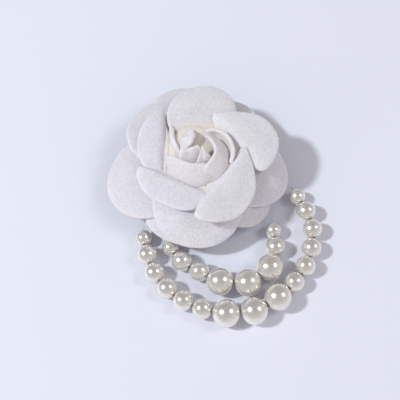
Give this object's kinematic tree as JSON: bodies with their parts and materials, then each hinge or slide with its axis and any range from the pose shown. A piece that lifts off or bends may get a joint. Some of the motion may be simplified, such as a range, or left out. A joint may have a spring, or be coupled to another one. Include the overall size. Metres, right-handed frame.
{
  "type": "fabric flower brooch",
  "caption": "Ivory fabric flower brooch with layered round petals and a folded bud, nested swags of graduated pearls hanging below it, and a hinged bar pin with a turning catch at its back.",
  "frame": {"origin": "under the middle of the flower's outline, on the surface that the brooch lies on", "axes": "+Z out of the flower's face, +X along the pin bar from hinge to catch, the swags lie towards -Y"},
  "size_m": [0.0594, 0.0798, 0.0229],
  "materials": {
    "petal_fabric": "stiffened crepe with a fine grain",
    "felt": "felt",
    "pin_steel": "nickel plated",
    "pearl": "pearl lacquer",
    "clear_line": "clear monofilament"
  },
  "bodies": {
    "flower": {"pin_bar": "pin_steel", "hinge_rivet": "pin_steel", "felt_patch": "felt", "flower_core": "petal_fabric", "back_petal_1": "petal_fabric", "back_petal_2": "petal_fabric", "back_petal_3": "petal_fabric", "outer_petal_1": "petal_fabric", "outer_petal_2": "petal_fabric", "outer_petal_3": "petal_fabric", "outer_petal_4": "petal_fabric", "outer_petal_5": "petal_fabric", "middle_petal_1": "petal_fabric", "middle_petal_2": "petal_fabric", "middle_petal_3": "petal_fabric", "middle_petal_4": "petal_fabric", "middle_petal_5": "petal_fabric", "bud_petal_1": "petal_fabric", "bud_petal_2": "petal_fabric", "bud_petal_3": "petal_fabric", "bud_petal_4": "petal_fabric", "bud_petal_5": "petal_fabric", "bud_petal_6": "petal_fabric", "bud_petal_7": "petal_fabric"},
    "pin": {"pin_stem": "pin_steel"},
    "catch": {"catch_barrel": "pin_steel"},
    "long_swag": {"long_swag_line": "clear_line", "long_swag_pearl_1": "pearl", "long_swag_pearl_2": "pearl", "long_swag_pearl_3": "pearl", "long_swag_pearl_4": "pearl", "long_swag_pearl_5": "pearl", "long_swag_pearl_6": "pearl", "long_swag_pearl_7": "pearl", "long_swag_pearl_8": "pearl", "long_swag_pearl_9": "pearl", "long_swag_pearl_10": "pearl", "long_swag_pearl_11": "pearl", "long_swag_pearl_12": "pearl", "long_swag_pearl_13": "pearl", "long_swag_pearl_14": "pearl", "long_swag_pearl_15": "pearl"},
    "short_swag": {"short_swag_line": "clear_line", "short_swag_pearl_1": "pearl", "short_swag_pearl_2": "pearl", "short_swag_pearl_3": "pearl", "short_swag_pearl_4": "pearl", "short_swag_pearl_5": "pearl", "short_swag_pearl_6": "pearl", "short_swag_pearl_7": "pearl", "short_swag_pearl_8": "pearl"}
  },
  "joints": [
    {"name": "pin_hinge", "type": "hinge", "parent": "flower", "child": "pin", "pos_m": [-0.012, 0.0043, 0.00165], "axis": [0, 1, 0], "range_deg": [0, 75]},
    {"name": "catch_turn", "type": "hinge", "parent": "flower", "child": "catch", "pos_m": [0.0126, 0.0043, 0.00165], "axis": [1, 0, 0], "range_deg": [0, 150]},
    {"name": "long_swag_swing", "type": "hinge", "parent": "flower", "child": "long_swag", "pos_m": [0.001, -0.0077, 0.007], "axis": [1, 0, 0], "range_deg": [0, 90]},
    {"name": "short_swag_swing", "type": "hinge", "parent": "flower", "child": "short_swag", "pos_m": [0.001, -0.0077, 0.007], "axis": [1, 0, 0], "range_deg": [0, 90]}
  ]
}
